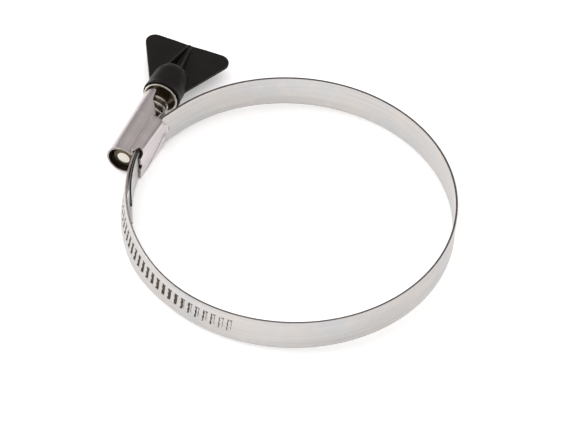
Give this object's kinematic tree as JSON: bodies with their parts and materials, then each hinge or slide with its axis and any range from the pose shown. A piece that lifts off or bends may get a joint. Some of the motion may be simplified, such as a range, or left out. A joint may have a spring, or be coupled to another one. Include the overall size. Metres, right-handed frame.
{
  "type": "hose clamp",
  "caption": "Worm-drive hose clamp: a round steel band with a pressed housing whose screw is turned by a black plastic wing handle.",
  "frame": {"origin": "centre of the clamped ring, half way up the band's width", "axes": "+Z along the hose, +Y along the screw towards the wing handle, the housing on the -X side"},
  "size_m": [0.1271, 0.1104, 0.0138],
  "materials": {
    "band": "bright rolled stainless strip with fine marks along its length",
    "housing": "satin pressed stainless sheet",
    "screw": "bright zinc-like rolled thread and turned collar",
    "wing": "moulded black, satin"
  },
  "bodies": {
    "housing": {"housing": "housing"},
    "worm": {"worm_screw": "screw", "wing_handle": "wing"},
    "tongue": {"band_tongue": "band"},
    "toothed_end": {"band_toothed_end": "band"},
    "arc_01": {"band_arc_01": "band"},
    "arc_02": {"band_arc_02": "band"},
    "arc_03": {"band_arc_03": "band"},
    "arc_04": {"band_arc_04": "band"},
    "arc_05": {"band_arc_05": "band"},
    "arc_06": {"band_arc_06": "band"},
    "arc_07": {"band_arc_07": "band"},
    "arc_08": {"band_arc_08": "band"},
    "arc_09": {"band_arc_09": "band"},
    "arc_10": {"band_arc_10": "band"},
    "arc_11": {"band_arc_11": "band"},
    "arc_12": {"band_arc_12": "band"},
    "fixed_end": {"band_fixed_end": "band"}
  },
  "joints": [
    {"name": "tooth_feed", "type": "hinge", "parent": "housing", "child": "toothed_end", "pos_m": [0.006, 0.0042, 0], "axis": [0, 0, -1], "range_deg": [-12, 47.6]},
    {"name": "worm_spin", "type": "hinge", "parent": "housing", "child": "worm", "pos_m": [-0.0583, 0.0137, 0], "axis": [0, -1, 0], "range_deg": [-1680, 6659]},
    {"name": "tongue_flex", "type": "hinge", "parent": "housing", "child": "tongue", "pos_m": [-0.05273, -0.0019, 0], "axis": [0, 0, 1], "range_deg": [-1.51, 5.96]},
    {"name": "flex_01", "type": "hinge", "parent": "toothed_end", "child": "arc_01", "pos_m": [-0.02836, -0.04487, 0], "axis": [0, 0, 1], "range_deg": [-1.28, 5.03]},
    {"name": "flex_02", "type": "hinge", "parent": "arc_01", "child": "arc_02", "pos_m": [-0.00904, -0.05278, 0], "axis": [0, 0, 1], "range_deg": [-0.97, 3.82]},
    {"name": "flex_03", "type": "hinge", "parent": "arc_02", "child": "arc_03", "pos_m": [0.01186, -0.05222, 0], "axis": [0, 0, 1], "range_deg": [-0.76, 2.97]},
    {"name": "flex_04", "type": "hinge", "parent": "arc_03", "child": "arc_04", "pos_m": [0.03096, -0.04369, 0], "axis": [0, 0, 1], "range_deg": [-0.68, 2.67]},
    {"name": "flex_05", "type": "hinge", "parent": "arc_04", "child": "arc_05", "pos_m": [0.04533, -0.0285, 0], "axis": [0, 0, 1], "range_deg": [-0.73, 2.88]},
    {"name": "flex_06", "type": "hinge", "parent": "arc_05", "child": "arc_06", "pos_m": [0.05279, -0.00897, 0], "axis": [0, 0, 1], "range_deg": [-0.86, 3.39]},
    {"name": "flex_07", "type": "hinge", "parent": "arc_06", "child": "arc_07", "pos_m": [0.0522, 0.01194, 0], "axis": [0, 0, 1], "range_deg": [-1, 3.92]},
    {"name": "flex_08", "type": "hinge", "parent": "arc_07", "child": "arc_08", "pos_m": [0.04365, 0.03102, 0], "axis": [0, 0, 1], "range_deg": [-1.09, 4.28]},
    {"name": "flex_09", "type": "hinge", "parent": "arc_08", "child": "arc_09", "pos_m": [0.02844, 0.04537, 0], "axis": [0, 0, 1], "range_deg": [-1.1, 4.34]},
    {"name": "flex_10", "type": "hinge", "parent": "arc_09", "child": "arc_10", "pos_m": [0.00889, 0.05281, 0], "axis": [0, 0, 1], "range_deg": [-1.05, 4.13]},
    {"name": "flex_11", "type": "hinge", "parent": "arc_10", "child": "arc_11", "pos_m": [-0.01201, 0.05219, 0], "axis": [0, 0, 1], "range_deg": [-0.96, 3.78]},
    {"name": "flex_12", "type": "hinge", "parent": "arc_11", "child": "arc_12", "pos_m": [-0.03108, 0.04361, 0], "axis": [0, 0, 1], "range_deg": [-0.87, 3.42]},
    {"name": "flex_13", "type": "hinge", "parent": "arc_12", "child": "fixed_end", "pos_m": [-0.04541, 0.02838, 0], "axis": [0, 0, 1], "range_deg": [-0.79, 3.1]}
  ],
  "couplings": [
    {"joint": "worm_spin", "follows": "tooth_feed", "ratio": 139.86},
    {"joint": "tongue_flex", "follows": "tooth_feed", "ratio": 0.125},
    {"joint": "flex_01", "follows": "tooth_feed", "ratio": 0.10548},
    {"joint": "flex_02", "follows": "tooth_feed", "ratio": 0.079938},
    {"joint": "flex_03", "follows": "tooth_feed", "ratio": 0.062093},
    {"joint": "flex_04", "follows": "tooth_feed", "ratio": 0.055914},
    {"joint": "flex_05", "follows": "tooth_feed", "ratio": 0.060319},
    {"joint": "flex_06", "follows": "tooth_feed", "ratio": 0.070925},
    {"joint": "flex_07", "follows": "tooth_feed", "ratio": 0.082234},
    {"joint": "flex_08", "follows": "tooth_feed", "ratio": 0.089653},
    {"joint": "flex_09", "follows": "tooth_feed", "ratio": 0.090946},
    {"joint": "flex_10", "follows": "tooth_feed", "ratio": 0.086655},
    {"joint": "flex_11", "follows": "tooth_feed", "ratio": 0.07929},
    {"joint": "flex_12", "follows": "tooth_feed", "ratio": 0.071635},
    {"joint": "flex_13", "follows": "tooth_feed", "ratio": 0.064918}
  ]
}
